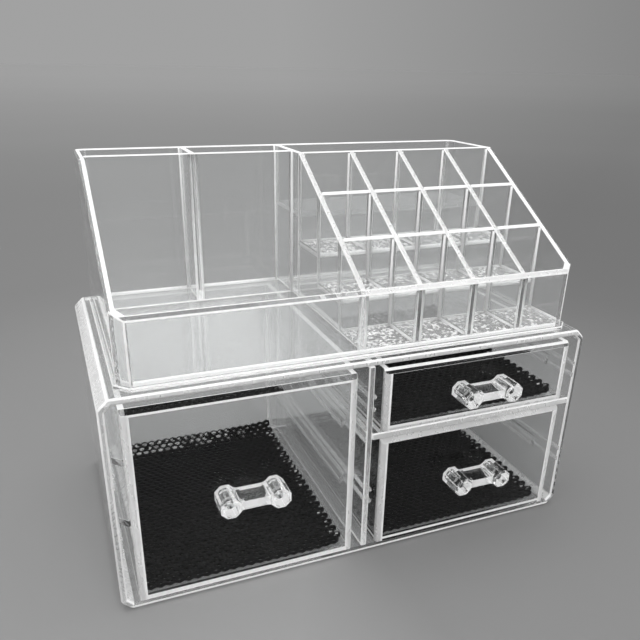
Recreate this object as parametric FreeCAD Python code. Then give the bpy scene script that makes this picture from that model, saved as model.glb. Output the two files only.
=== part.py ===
"""Clear desk-top make-up organizer: a cabinet of three drawers under a lift-off tray with a lipstick rack.

Millimetres, +Z up, +X to the right and -Y towards the user. The origin is the middle of the
cabinet's underside, so every drawer opens along -Y and the tray lifts off along +Z.
"""
import FreeCAD, Part
import math
import os

from FreeCAD import Vector

# Cabinet
CABINET_WIDTH = 240.0
CABINET_DEPTH = 135.0
CABINET_HEIGHT = 106.5
CABINET_WALL = 3.0
CABINET_CHAMFER = 4.5          # bevel along the four long outer corners
BACK_THICKNESS = 3.0
PARTITION_THICKNESS = 3.2
SHELF_THICKNESS = 3.6
LOWER_BAY_HEIGHT = 61.5        # clear height under the shelf

# Guide beads, moulded in pairs on the walls of the bays
BEAD_WIDTH = 2.4
BEAD_PROUD = 1.2
BEAD_SPACING = 6.5             # between the middles of a pair

# Drawers
SIDE_GAP = 5.2                 # between a drawer's side and the wall of its bay
RUN_CLEARANCE = 0.3            # under a drawer and round its runners
BACK_CLEARANCE = 0.6           # behind a closed drawer
TOP_HEADROOM = 3.0             # over the two drawers below the cabinet's top
SHELF_HEADROOM = 0.8           # over the drawer below the shelf
DRAWER_WALL = 2.6
DRAWER_FLOOR = 2.6
DRAWER_CORNER = 1.6
DRAWER_BEVEL = 2.2             # bevel along the top of a drawer's front
RUNNER_SETBACK = 14.0          # from the drawer's front to the nose of its runners

# Handles: two eight-sided posts joined by a waisted bar
POST_SIDES = 8
POST_SPACING = 22.6
POST_FLATS = 9.4
POST_LENGTH = 13.2
POST_BEVEL = 0.9
BAR_HEIGHT = 4.4
BAR_DEPTH = 11.4
BAR_FLARE = 4.0                # radius of the curve from the bar into a post
LEFT_HANDLE_SHARE = 0.5        # middle of each handle, up the height of its drawer
UPPER_HANDLE_SHARE = 0.49
LOWER_HANDLE_SHARE = 0.527
PEG_DIAMETER = 3.0
PEG_FIT = 0.06                 # radial clearance of a peg in its holes
PEG_DEPTH = 7.0                # into the post
PEG_HEAD_DIAMETER = 5.4
PEG_HEAD_HEIGHT = 1.2

# Net liners on the drawers' floors
LINER_THICKNESS = 1.8
LINER_MARGIN = 1.0
NET_PITCH_X = 10.0
NET_PITCH_Y = 12.0
NET_STRAND = 2.2
NET_EDGE = 3.2                 # whole strip between the outer gaps and the cut edge
NET_NOTCH = 1.6                # depth of the zigzag that the cut leaves

# Tray
TRAY_WIDTH = 222.0
TRAY_DEPTH = 124.0
TRAY_HEIGHT = 80.0
TRAY_FRONT_HEIGHT = 30.0
TRAY_SETBACK = 3.5             # from the cabinet's front to the tray's front
TRAY_SEAT = 0.2                # clearance under the tray
TRAY_WALL = 3.0
TRAY_FLOOR = 3.3
TRAY_CHAMFER = 5.2             # bevel of the two front corners, in plan
TRAY_CORNER = 6.0              # radius of the two back corners, in plan
FOOT_PROUD = 1.4               # foot that runs round the bottom of the tray
FOOT_HEIGHT = 2.2
REAR_POCKET_DEPTH = 26.0       # clear depth of the two left rear pockets
RACK_POCKET_DEPTH = 35.5       # clear depth of the pocket behind the rack
CROSS_WALL = 3.0               # walls in front of the rear pockets
DIVIDER = 2.6

# Lipstick rack on the tray's right
RACK_COLUMNS = 4
RACK_ROWS = 3
RACK_LEFT = -3.5               # middle of the rack's left wall
STEP_RISE = 15.4               # each row's floor above the one in front
STEP_FLOOR = 2.4
ROW_WALL = 1.8                 # walls between the rows

OVERRUN = 1.0                  # how far a cutting shape passes the faces that it cuts

# Places worked out from the sizes above
FRONT = -CABINET_DEPTH / 2
BACK = CABINET_DEPTH / 2
BACK_INNER = BACK - BACK_THICKNESS
SIDE_INNER = CABINET_WIDTH / 2 - CABINET_WALL
BOTTOM_INNER = CABINET_WALL
TOP_INNER = CABINET_HEIGHT - CABINET_WALL
PARTITION_FACE = PARTITION_THICKNESS / 2
SHELF_UNDER = BOTTOM_INNER + LOWER_BAY_HEIGHT
SHELF_TOP = SHELF_UNDER + SHELF_THICKNESS
BAY_WIDTH = SIDE_INNER - PARTITION_FACE
BAY_CENTRE = PARTITION_FACE + BAY_WIDTH / 2
DRAWER_WIDTH = BAY_WIDTH - SIDE_GAP - SIDE_GAP
DRAWER_DEPTH = BACK_INNER - BACK_CLEARANCE - FRONT

TRAY_BOTTOM = CABINET_HEIGHT + TRAY_SEAT
TRAY_TOP = CABINET_HEIGHT + TRAY_HEIGHT
TRAY_FLOOR_TOP = TRAY_BOTTOM + TRAY_FLOOR
TRAY_FRONT = FRONT + TRAY_SETBACK
TRAY_BACK = TRAY_FRONT + TRAY_DEPTH
TRAY_SIDE = TRAY_WIDTH / 2
FRONT_INNER = TRAY_FRONT + TRAY_WALL
REAR_INNER = TRAY_BACK - TRAY_WALL
TRAY_SIDE_INNER = TRAY_SIDE - TRAY_WALL
POCKET_WALL_BACK = REAR_INNER - REAR_POCKET_DEPTH
POCKET_WALL_FRONT = POCKET_WALL_BACK - CROSS_WALL
RACK_REAR = REAR_INNER - RACK_POCKET_DEPTH
RACK_END = RACK_REAR - CROSS_WALL
FRONT_TOP = CABINET_HEIGHT + TRAY_FRONT_HEIGHT
SLOPE = (TRAY_TOP - FRONT_TOP) / (RACK_END - TRAY_FRONT)

COLUMN_PITCH = (TRAY_SIDE_INNER + DIVIDER / 2 - RACK_LEFT) / RACK_COLUMNS
ROW_PITCH = (RACK_END - FRONT_INNER + ROW_WALL) / RACK_ROWS


def box(x0, x1, y0, y1, z0, z1):
    """A block between two corners."""
    return Part.makeBox(x1 - x0, y1 - y0, z1 - z0, Vector(x0, y0, z0))


def polygon(points):
    """A closed wire through points."""
    return Part.makePolygon([*points, points[0]])


def prism(points, travel):
    """The flat outline through points, drawn out along travel."""
    return Part.Face(polygon(points)).extrude(travel)


def save(node, shape):
    """Write one node, a solid or a group of separate solids."""
    if not shape.isValid():
        raise ValueError(node + " is not a valid shape")
    shape.exportStep("parts/" + node + ".step")


# Cabinet

def cabinet_profile(inset):
    """The cabinet's section across X and Z, bevelled at its corners and drawn in by inset."""
    half = CABINET_WIDTH / 2 - inset
    low = inset
    high = CABINET_HEIGHT - inset
    bevel = CABINET_CHAMFER - inset * (2 - math.sqrt(2))
    return [
        Vector(-half + bevel, FRONT, low), Vector(half - bevel, FRONT, low),
        Vector(half, FRONT, low + bevel), Vector(half, FRONT, high - bevel),
        Vector(half - bevel, FRONT, high), Vector(-half + bevel, FRONT, high),
        Vector(-half, FRONT, high - bevel), Vector(-half, FRONT, low + bevel),
    ]


def cabinet_shell():
    """Top, bottom and sides in one tube, open at the front and back."""
    along = Vector(0, CABINET_DEPTH, 0)
    return prism(cabinet_profile(0), along).cut(prism(cabinet_profile(CABINET_WALL), along))


def cabinet_back():
    """The panel that closes the tube's back."""
    panel = prism(cabinet_profile(CABINET_WALL), Vector(0, BACK_THICKNESS, 0))
    panel.translate(Vector(0, BACK_INNER - FRONT, 0))
    return panel


def centre_partition():
    """The upright wall between the left bay and the two right ones."""
    return box(-PARTITION_FACE, PARTITION_FACE, FRONT, BACK_INNER, BOTTOM_INNER, TOP_INNER)


def drawer_shelf():
    """The shelf between the two right bays."""
    return box(PARTITION_FACE, SIDE_INNER, FRONT, BACK_INNER, SHELF_UNDER, SHELF_TOP)


def guide_bead(wall_x, side, height):
    """A half-round bead along a bay's wall at wall_x. It stands proud towards side, +1 or -1."""
    low = Vector(wall_x, FRONT, height - BEAD_WIDTH / 2)
    crown = Vector(wall_x + side * BEAD_PROUD, FRONT, height)
    high = Vector(wall_x, FRONT, height + BEAD_WIDTH / 2)
    section = Part.Wire([Part.Arc(low, crown, high).toShape(), Part.makeLine(high, low)])
    return Part.Face(section).extrude(Vector(0, BACK_INNER - FRONT, 0))


def bay_guides(walls, heights):
    """Pairs of beads, on each wall (its x and the side that it faces) at each runner's height."""
    beads = []
    for wall_x, side in walls:
        for height in heights:
            beads.append(guide_bead(wall_x, side, height - BEAD_SPACING / 2))
            beads.append(guide_bead(wall_x, side, height + BEAD_SPACING / 2))
    return Part.makeCompound(beads)


# Drawers

class Bay:
    """The space that one drawer fills, and the drawer's place in it."""

    def __init__(self, name, side, floor, ceiling, headroom, handle_share, runner_shares):
        """side is -1 left or +1 right. The shares are places up the drawer's height."""
        self.name = name
        self.centre = side * BAY_CENTRE
        self.bottom = floor + RUN_CLEARANCE
        self.top = ceiling - headroom
        self.handle_height = self.bottom + handle_share * (self.top - self.bottom)
        self.left = self.centre - DRAWER_WIDTH / 2
        self.right = self.centre + DRAWER_WIDTH / 2
        self.back = FRONT + DRAWER_DEPTH
        self.floor_top = self.bottom + DRAWER_FLOOR
        self.runners = [self.bottom + share * (self.top - self.bottom) for share in runner_shares]
        self.walls = [(self.centre - BAY_WIDTH / 2, 1), (self.centre + BAY_WIDTH / 2, -1)]


LEFT_RUNNER_SHARES = (0.34, 0.67)
RIGHT_RUNNER_SHARES = (0.5,)
BAYS = [
    Bay("left_drawer", -1, BOTTOM_INNER, TOP_INNER, TOP_HEADROOM, LEFT_HANDLE_SHARE, LEFT_RUNNER_SHARES),
    Bay("upper_drawer", 1, SHELF_TOP, TOP_INNER, TOP_HEADROOM, UPPER_HANDLE_SHARE, RIGHT_RUNNER_SHARES),
    Bay("lower_drawer", 1, BOTTOM_INNER, SHELF_UNDER, SHELF_HEADROOM, LOWER_HANDLE_SHARE,
        RIGHT_RUNNER_SHARES),
]


def upright_edges(shape):
    """The straight edges of shape that run along Z."""
    found = []
    for edge in shape.Edges:
        ends = [vertex.Point for vertex in edge.Vertexes]
        if len(ends) == 2 and math.hypot(ends[0].x - ends[1].x, ends[0].y - ends[1].y) < edge.Length / 2:
            found.append(edge)
    return found


def runner(bay, side, height):
    """The tongue on a drawer's side that slides between two beads, with a rounded nose."""
    face = bay.centre + side * DRAWER_WIDTH / 2
    tip = face + side * (SIDE_GAP - RUN_CLEARANCE)
    half = (BEAD_SPACING - BEAD_WIDTH) / 2 - RUN_CLEARANCE
    front = FRONT + RUNNER_SETBACK
    nose = SIDE_GAP - RUN_CLEARANCE
    plan = [
        Vector(face, front, height - half), Vector(tip, front + nose, height - half),
        Vector(tip, bay.back, height - half), Vector(face, bay.back, height - half),
    ]
    return prism(plan, Vector(0, 0, half + half))


def peg_places(bay):
    """The middles of the two handle posts on the drawer's front, as x and z."""
    return [(bay.centre + side * POST_SPACING / 2, bay.handle_height) for side in (-1, 1)]


def drawer_tub(bay):
    """The open box, with its bevelled front edge, its runners and the holes for the handle's pegs."""
    outside = box(bay.left, bay.right, FRONT, bay.back, bay.bottom, bay.top)
    outside = outside.makeFillet(DRAWER_CORNER, upright_edges(outside))
    inside = box(bay.left + DRAWER_WALL, bay.right - DRAWER_WALL, FRONT + DRAWER_WALL,
                 bay.back - DRAWER_WALL, bay.floor_top, bay.top + OVERRUN)
    tub = outside.cut(inside)
    bevel = [
        Vector(bay.left - OVERRUN, FRONT, bay.top - DRAWER_BEVEL),
        Vector(bay.left - OVERRUN, FRONT + DRAWER_BEVEL, bay.top),
        Vector(bay.left - OVERRUN, FRONT, bay.top),
    ]
    tub = tub.cut(prism(bevel, Vector(DRAWER_WIDTH + OVERRUN + OVERRUN, 0, 0)))
    for height in bay.runners:
        for side in (-1, 1):
            tub = tub.fuse(runner(bay, side, height))
    for x, z in peg_places(bay):
        start = Vector(x, FRONT - OVERRUN, z)
        tub = tub.cut(Part.makeCylinder(PEG_DIAMETER / 2 + PEG_FIT, DRAWER_WALL + OVERRUN + OVERRUN,
                                        start, Vector(0, 1, 0)))
    return tub.removeSplitter()


def post(x, z):
    """One post with flat sides, bevelled round its front."""
    radius = POST_FLATS / 2 / math.cos(math.pi / POST_SIDES)
    corners = []
    for k in range(POST_SIDES):
        turn = (k + k + 1) * math.pi / POST_SIDES
        corners.append(Vector(x + radius * math.cos(turn), FRONT, z + radius * math.sin(turn)))
    solid = prism(corners, Vector(0, -POST_LENGTH, 0))
    rim = [edge for edge in solid.Edges if edge.BoundBox.YMax < FRONT - POST_LENGTH / 2]
    return solid.makeChamfer(POST_BEVEL, rim)


def waisted_bar(x, z):
    """The bar between the posts. At each corner an arc runs from the bar into a post's slanting side."""
    reach = POST_SPACING / 2
    waist = BAR_HEIGHT / 2
    slant = 2 * math.pi / POST_SIDES
    corner = POST_FLATS / 2 * math.tan(slant / 2)
    meet = reach - POST_FLATS / 2 + (waist - corner) / math.tan(slant)
    tangent = BAR_FLARE * math.tan(slant / 2)

    def at(side, across, sense, up):
        return Vector(x + side * across, FRONT, z + sense * up)

    def flare(side, sense):
        begin = at(side, meet - tangent, sense, waist)
        bend = at(side, meet - tangent + BAR_FLARE * math.sin(slant / 2),
                  sense, waist + BAR_FLARE - BAR_FLARE * math.cos(slant / 2))
        end = at(side, meet + tangent * math.cos(slant), sense, waist + tangent * math.sin(slant))
        return begin, bend, end

    edges = []
    for side in (1, -1):
        middle = at(side, reach, 1, 0)
        for sense in (1, -1):
            begin, bend, end = flare(side, sense)
            edges.append(Part.Arc(begin, bend, end).toShape())
            edges.append(Part.makeLine(end, middle))
    for sense in (1, -1):
        edges.append(Part.makeLine(flare(1, sense)[0], flare(-1, sense)[0]))
    outline = Part.Wire(Part.__sortEdges__(edges))
    return Part.Face(outline).extrude(Vector(0, -BAR_DEPTH, 0))


def handle(bay):
    """A dumb-bell grip: two posts and their bar in one piece, with a blind hole in each post's back."""
    grip = waisted_bar(bay.centre, bay.handle_height)
    for x, z in peg_places(bay):
        grip = grip.fuse(post(x, z))
    for x, z in peg_places(bay):
        hole = Part.makeCylinder(PEG_DIAMETER / 2 + PEG_FIT, PEG_DEPTH + PEG_FIT + OVERRUN,
                                 Vector(x, FRONT + OVERRUN, z), Vector(0, -1, 0))
        grip = grip.cut(hole)
    return grip.removeSplitter()


def handle_pegs(bay):
    """The two pegs that hold the handle from inside the drawer, each with a round head."""
    pegs = []
    inner = FRONT + DRAWER_WALL
    for x, z in peg_places(bay):
        shank = Part.makeCylinder(PEG_DIAMETER / 2, PEG_DEPTH + DRAWER_WALL,
                                  Vector(x, inner, z), Vector(0, -1, 0))
        head = Part.makeCone(PEG_HEAD_DIAMETER / 2, PEG_DIAMETER / 2, PEG_HEAD_HEIGHT,
                             Vector(x, inner, z), Vector(0, 1, 0))
        pegs.append(shank.fuse(head).removeSplitter())
    return Part.makeCompound(pegs)


def zigzag(start, end, inward, pitch):
    """Points from start to just before end that step inward and back once in each pitch."""
    length = (end - start).Length
    steps = max(1, round(length / pitch))
    points = []
    for k in range(steps):
        points.append(start + (end - start) * (k / steps))
        points.append(start + (end - start) * ((k + 1 / 2) / steps) + inward * NET_NOTCH)
    return points


def net_liner(bay):
    """A loose net on the drawer's floor: one flat face of staggered gaps with a zigzag cut edge."""
    left = bay.left + DRAWER_WALL + LINER_MARGIN
    right = bay.right - DRAWER_WALL - LINER_MARGIN
    front = FRONT + DRAWER_WALL + LINER_MARGIN
    back = bay.back - DRAWER_WALL - LINER_MARGIN
    low = bay.floor_top
    corners = [Vector(left, front, low), Vector(right, front, low),
               Vector(right, back, low), Vector(left, back, low)]
    inwards = [Vector(0, 1, 0), Vector(-1, 0, 0), Vector(0, -1, 0), Vector(1, 0, 0)]
    pitches = [NET_PITCH_X, NET_PITCH_Y, NET_PITCH_X, NET_PITCH_Y]
    edge = []
    for k in range(4):
        edge += zigzag(corners[k], corners[(k + 1) % 4], inwards[k], pitches[k])
    half_x = (NET_PITCH_X - NET_STRAND) / 2
    half_y = (NET_PITCH_Y - NET_STRAND) / 2
    middle_x = (left + right) / 2
    middle_y = (front + back) / 2
    room_x = (right - left) / 2 - NET_EDGE - half_x
    room_y = (back - front) / 2 - NET_EDGE - half_y
    rows = int(room_y / (NET_PITCH_Y / 2))
    wires = [polygon(edge)]
    for row in range(-rows, rows + 1):
        shift = (row % 2) * NET_PITCH_X / 2
        columns = int(room_x / NET_PITCH_X) + 1
        for column in range(-columns, columns + 1):
            across = column * NET_PITCH_X + shift
            if abs(across) > room_x:
                continue
            x = middle_x + across
            y = middle_y + row * NET_PITCH_Y / 2
            wires.append(polygon([Vector(x - half_x, y, low), Vector(x, y - half_y, low),
                                  Vector(x + half_x, y, low), Vector(x, y + half_y, low)]))
    face = Part.makeFace(wires, "Part::FaceMakerBullseye")
    return face.extrude(Vector(0, 0, LINER_THICKNESS))


# Tray

def tray_outline(grow, height):
    """The tray's plan at a height: bevelled front corners, round back corners, grown outwards by grow."""
    side = TRAY_SIDE + grow
    front = TRAY_FRONT - grow
    back = TRAY_BACK + grow
    bevel = TRAY_CHAMFER + grow * (2 - math.sqrt(2))
    radius = TRAY_CORNER + grow
    slack = radius * (1 - math.sin(math.pi / 4))

    def at(x, y):
        return Vector(x, y, height)

    right_bend = Part.Arc(at(side, back - radius), at(side - slack, back - slack), at(side - radius, back))
    left_bend = Part.Arc(at(radius - side, back), at(slack - side, back - slack), at(-side, back - radius))
    return Part.Wire([
        Part.makeLine(at(bevel - side, front), at(side - bevel, front)),
        Part.makeLine(at(side - bevel, front), at(side, front + bevel)),
        Part.makeLine(at(side, front + bevel), at(side, back - radius)),
        right_bend.toShape(),
        Part.makeLine(at(side - radius, back), at(radius - side, back)),
        left_bend.toShape(),
        Part.makeLine(at(-side, back - radius), at(-side, front + bevel)),
        Part.makeLine(at(-side, front + bevel), at(bevel - side, front)),
    ])


def tray_block(grow, low, high):
    """The tray's plan, grown by grow, as a block between two heights."""
    return Part.Face(tray_outline(grow, low)).extrude(Vector(0, 0, high - low))


def slope_at(y):
    """Height of the sloping top of the side walls and dividers at y, in front of the rack's back wall."""
    return TRAY_TOP - SLOPE * (RACK_END - y)


def above_slope():
    """Everything over the sloping tops, used to cut the walls that follow the slope."""
    front = TRAY_FRONT - FOOT_PROUD - OVERRUN
    high = TRAY_TOP + OVERRUN
    reach = TRAY_SIDE + OVERRUN
    side_view = [
        Vector(-reach, RACK_END, TRAY_TOP), Vector(-reach, RACK_END, high),
        Vector(-reach, front, high), Vector(-reach, front, slope_at(front)),
    ]
    return prism(side_view, Vector(reach + reach, 0, 0))


def tray_outer_wall():
    """The wall round the tray, with its sloping sides and the foot round its bottom."""
    wall = tray_block(0, TRAY_BOTTOM, TRAY_TOP)
    wall = wall.fuse(tray_block(FOOT_PROUD, TRAY_BOTTOM, TRAY_BOTTOM + FOOT_HEIGHT))
    wall = wall.cut(tray_block(-TRAY_WALL, TRAY_BOTTOM - OVERRUN, TRAY_TOP + OVERRUN))
    return wall.cut(above_slope()).removeSplitter()


def within_wall(shape):
    """The part of shape that lies inside the tray's outer wall."""
    return shape.common(tray_block(-TRAY_WALL, TRAY_BOTTOM, TRAY_TOP))


def row_line(row):
    """Middle of the rack's wall in front of a row. Row 0 is the front one, whose wall is the tray's own."""
    return FRONT_INNER - ROW_WALL / 2 + row * ROW_PITCH


def step_top(row):
    """Height of a row's floor. Each row stands a step above the one in front of it."""
    return TRAY_FLOOR_TOP + row * STEP_RISE


RACK_EDGE = RACK_LEFT + DIVIDER / 2
STEP_BACK = row_line(1) + ROW_WALL / 2
TOP_STEP = step_top(RACK_ROWS - 1)


def tray_floor():
    """The floor of the left trays and of the rack's front row. It is open under the rack's steps."""
    left = box(-TRAY_SIDE, RACK_EDGE, TRAY_FRONT, TRAY_BACK, TRAY_BOTTOM, TRAY_FLOOR_TOP)
    front = box(RACK_EDGE, TRAY_SIDE, TRAY_FRONT, STEP_BACK, TRAY_BOTTOM, TRAY_FLOOR_TOP)
    return within_wall(left.fuse(front).removeSplitter())


def rear_pocket_wall():
    """The wall between the two left rear pockets and the open front. It ends at the right divider."""
    return box(-TRAY_SIDE_INNER, RACK_LEFT - DIVIDER / 2, POCKET_WALL_FRONT, POCKET_WALL_BACK,
               TRAY_FLOOR_TOP, TRAY_TOP)


def rack_back_wall():
    """The wall between the rack and the pocket behind it. It stands on the top step."""
    return box(RACK_EDGE, TRAY_SIDE_INNER, RACK_END, RACK_REAR, TOP_STEP, TRAY_TOP)


def rear_divider(x, front):
    """A wall between two rear pockets, from front to the tray's back wall."""
    return box(x - DIVIDER / 2, x + DIVIDER / 2, front, REAR_INNER, TRAY_FLOOR_TOP, TRAY_TOP)


def raised_rear_floor():
    """The floor of the shallow pocket behind the rack, one step above the rack's back row."""
    top = step_top(RACK_ROWS)
    return within_wall(box(RACK_EDGE, TRAY_SIDE, RACK_REAR, TRAY_BACK, top - STEP_FLOOR, top))


def rack_side_wall():
    """The rack's left wall, from the tray's floor to the slope."""
    wall = box(RACK_LEFT - DIVIDER / 2, RACK_EDGE, FRONT_INNER, RACK_END, TRAY_FLOOR_TOP, TRAY_TOP)
    return wall.cut(above_slope())


def rack_divider(column):
    """A wall between two columns of cells. Its lower edge follows the steps."""
    left = RACK_LEFT + column * COLUMN_PITCH - DIVIDER / 2
    edge = [Vector(left, FRONT_INNER, TRAY_TOP), Vector(left, FRONT_INNER, step_top(0))]
    for row in range(1, RACK_ROWS):
        riser = row_line(row) + ROW_WALL / 2
        edge += [Vector(left, riser, step_top(row - 1)), Vector(left, riser, step_top(row))]
    edge += [Vector(left, RACK_END, TOP_STEP), Vector(left, RACK_END, TRAY_TOP)]
    return prism(edge, Vector(DIVIDER, 0, 0)).cut(above_slope())


def column_span(column):
    """Left and right faces of the cells in a column."""
    left = RACK_LEFT + column * COLUMN_PITCH + DIVIDER / 2
    return left, left + COLUMN_PITCH - DIVIDER


def rack_row_wall(row):
    """The walls in front of a row, one for each column. They stand on the floor of the row before."""
    front = row_line(row) - ROW_WALL / 2
    walls = []
    for column in range(RACK_COLUMNS):
        left, right = column_span(column)
        wall = box(left, right, front, front + ROW_WALL, step_top(row - 1), TRAY_TOP)
        walls.append(wall.cut(above_slope()))
    return Part.makeCompound(walls)


def rack_step(row):
    """The floor of a raised row. It carries the wall behind it."""
    back = RACK_REAR if row == RACK_ROWS - 1 else row_line(row + 1) + ROW_WALL / 2
    top = step_top(row)
    return box(RACK_EDGE, TRAY_SIDE_INNER, row_line(row) + ROW_WALL / 2, back, top - STEP_FLOOR, top)


def build():
    """Make every node and write it."""
    os.makedirs("parts", exist_ok=True)
    left_bay, upper_bay, lower_bay = BAYS
    save("cabinet_shell", cabinet_shell())
    save("cabinet_back", cabinet_back())
    save("centre_partition", centre_partition())
    save("drawer_shelf", drawer_shelf())
    save("left_bay_guides", bay_guides(left_bay.walls, left_bay.runners))
    save("right_bay_guides", bay_guides(upper_bay.walls, upper_bay.runners + lower_bay.runners))
    for bay in BAYS:
        save(bay.name + "_tub", drawer_tub(bay))
        save(bay.name + "_handle", handle(bay))
        save(bay.name + "_handle_pegs", handle_pegs(bay))
        save(bay.name + "_net_liner", net_liner(bay))
    save("tray_outer_wall", tray_outer_wall())
    save("tray_floor", tray_floor())
    save("rear_pocket_wall", rear_pocket_wall())
    save("rear_divider_left", rear_divider((RACK_LEFT - DIVIDER / 2 - TRAY_SIDE_INNER) / 2, POCKET_WALL_BACK))
    save("rear_divider_right", rear_divider(RACK_LEFT, RACK_END))
    save("raised_rear_floor", raised_rear_floor())
    save("rack_side_wall", rack_side_wall())
    save("rack_back_wall", rack_back_wall())
    for column in range(1, RACK_COLUMNS):
        save("rack_divider_" + str(column), rack_divider(column))
    for row in range(1, RACK_ROWS):
        save("rack_row_wall_" + str(row), rack_row_wall(row))
        save("rack_step_" + str(row), rack_step(row))


build()
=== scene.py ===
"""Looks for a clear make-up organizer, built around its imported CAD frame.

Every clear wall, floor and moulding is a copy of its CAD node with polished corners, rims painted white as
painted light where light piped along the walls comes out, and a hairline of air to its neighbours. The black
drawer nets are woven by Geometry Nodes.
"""

import logging
import math
import random
from collections.abc import Iterator
from dataclasses import dataclass, field
from enum import Enum

import bmesh
import bpy
import numpy as np
from mathutils import Matrix, Vector

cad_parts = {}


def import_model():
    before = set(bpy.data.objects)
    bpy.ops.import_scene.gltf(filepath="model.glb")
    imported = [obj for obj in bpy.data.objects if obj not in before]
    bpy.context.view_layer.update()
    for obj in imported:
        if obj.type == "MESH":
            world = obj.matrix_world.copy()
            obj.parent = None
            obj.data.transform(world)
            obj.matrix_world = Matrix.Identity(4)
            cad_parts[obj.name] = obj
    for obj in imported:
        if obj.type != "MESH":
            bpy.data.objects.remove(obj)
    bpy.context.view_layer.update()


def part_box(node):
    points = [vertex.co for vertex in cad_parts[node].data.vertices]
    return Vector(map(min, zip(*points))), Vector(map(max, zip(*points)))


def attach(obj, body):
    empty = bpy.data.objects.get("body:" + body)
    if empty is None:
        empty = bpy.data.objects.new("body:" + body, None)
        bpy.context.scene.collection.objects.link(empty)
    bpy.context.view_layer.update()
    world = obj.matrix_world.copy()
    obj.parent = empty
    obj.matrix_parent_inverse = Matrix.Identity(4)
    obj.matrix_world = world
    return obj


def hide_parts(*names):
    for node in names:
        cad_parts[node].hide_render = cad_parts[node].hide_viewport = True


LOG = logging.getLogger("organizer")
X_AXIS, Y_AXIS, Z_AXIS = (Vector(row) for row in ((1, 0, 0), (0, 1, 0), (0, 0, 1)))
RACK_COLUMNS = ("rack_divider_1", "rack_divider_2", "rack_divider_3")
RACK_ROWS = ("rack_row_wall_1", "rack_row_wall_2")
RACK_STEPS = ("rack_step_1", "rack_step_2")

# Points closer than this are one point, in metres.
WELD = 2e-6
# A face this close to the end of a piece lies on that end, in metres.
SKIM = 0.0005
# A normal with more than this along an axis faces that way.
FACING = 0.9
# A normal with more than this along an axis leans that way.
LEANING = 0.3

Socket = bpy.types.NodeSocket


class Skin(Enum):
    """Places of the finishes in a clear piece's material slots."""

    CLEAR = 0
    # Painted light: white where light piped along a clear wall comes out of its ends and corners.
    RIM = 1
    PEBBLED = 2
    # Painted light at half strength: a half-clear white.
    SATIN = 3
    HAZY = 4
    CLOUDY = 5
    VEILED = 6
    JEWEL = 7
    # A dark tint painted as a reflection of the black net.
    SMOKY = 8


class Brow(Enum):
    """How the top edge of a drawer's front shows: its bright line or band is a painted highlight."""

    LINE_BELOW = "a bright line under the facet"
    LINE_ABOVE = "a bright line along the top of the facet"
    BAND = "a satin facet"


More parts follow.
